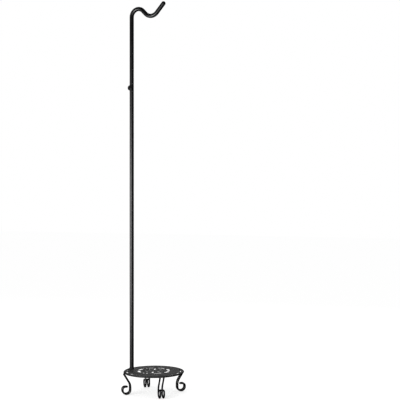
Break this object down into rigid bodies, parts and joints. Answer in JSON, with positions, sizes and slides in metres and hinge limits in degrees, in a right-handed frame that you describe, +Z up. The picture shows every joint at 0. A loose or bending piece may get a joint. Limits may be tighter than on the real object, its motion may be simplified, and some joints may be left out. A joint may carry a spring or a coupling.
{
  "type": "hanging plant stand",
  "caption": "Hanging plant stand: a round pierced tray on scroll feet with a tall pole at its edge and a swan-neck hook above; the hook's height and direction are set with a thumbscrew.",
  "frame": {"origin": "on the floor, under the centre of the tray", "axes": "+Z up along the pole, +X from the pole towards the hook's tip, so the hook lies in the XZ plane"},
  "size_m": [0.226, 0.226, 1.455],
  "materials": {
    "black_coat": "semi-gloss black powder coat",
    "black_plastic": "moulded black plastic, satin",
    "zinc_steel": "bright zinc plate",
    "nylon": "natural nylon"
  },
  "bodies": {
    "stand": {"tray_sheet": "black_coat", "rim_ring": "black_coat", "foot_left_front": "black_coat", "foot_left_rear": "black_coat", "foot_right_front": "black_coat", "foot_right_rear": "black_coat", "pole_flange": "black_coat", "base_bolt": "zinc_steel", "base_washer": "zinc_steel", "base_lock_washer": "zinc_steel", "base_plug": "zinc_steel", "pole_lower": "black_coat", "joint_socket": "zinc_steel", "joint_stud": "zinc_steel", "pole_upper": "black_coat", "clamp_boss": "black_coat"},
    "glide": {"spigot_glide": "nylon"},
    "hook": {"hook_tube": "black_coat", "hook_cap": "black_plastic", "hook_spigot": "zinc_steel"},
    "pad": {"clamp_pad": "nylon"},
    "thumbscrew": {"thumb_stud": "zinc_steel", "thumb_knob": "black_plastic"}
  },
  "joints": [
    {"name": "hook_height", "type": "slide", "parent": "stand", "child": "glide", "axis": [0, 0, 1], "range_m": [0, 0.1]},
    {"name": "hook_swivel", "type": "hinge", "parent": "glide", "child": "hook", "pos_m": [-0.096, 0, 1.1537], "axis": [0, 0, 1], "continuous": true},
    {"name": "screw_travel", "type": "slide", "parent": "stand", "child": "pad", "axis": [0, -1, 0], "range_m": [0, 0.002]},
    {"name": "screw_turn", "type": "hinge", "parent": "pad", "child": "thumbscrew", "pos_m": [-0.096, -0.0102, 1.14], "axis": [0, -1, 0], "range_deg": [0, 720]}
  ],
  "couplings": [
    {"joint": "screw_turn", "follows": "screw_travel", "rad_per_m": 6283.2}
  ]
}
